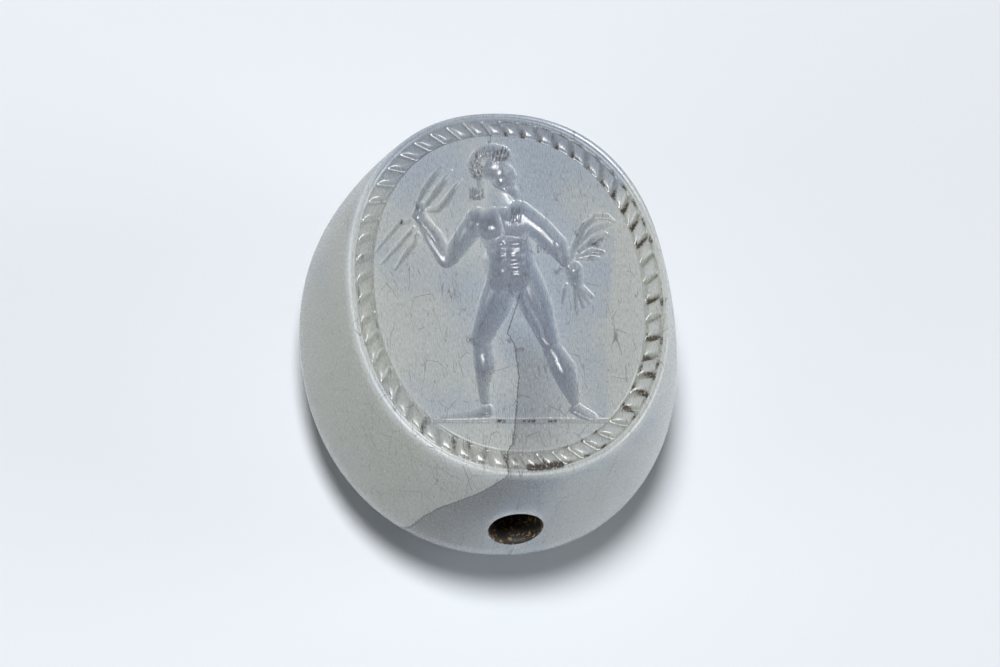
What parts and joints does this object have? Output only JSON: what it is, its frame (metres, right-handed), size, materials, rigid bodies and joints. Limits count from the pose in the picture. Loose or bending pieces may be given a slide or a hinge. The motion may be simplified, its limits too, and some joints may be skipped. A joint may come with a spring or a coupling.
{
  "type": "engraved scaraboid gem",
  "caption": "Oval chalcedony scaraboid, bored lengthwise, with a striding figure cut in intaglio inside a hatched border.",
  "frame": {"origin": "middle of the small flat spot on the domed back, on which the gem rests", "axes": "+Z out of the engraved face, +Y along the length towards the figure's head, +X to the viewer's right"},
  "size_m": [0.0172, 0.02, 0.0103],
  "materials": {
    "chalcedony": "polished milky bluish-grey chalcedony, slightly translucent, crazed, with brown dirt in the cuts"
  },
  "bodies": {
    "root": {"scaraboid_gem": "chalcedony"}
  },
  "joints": []
}
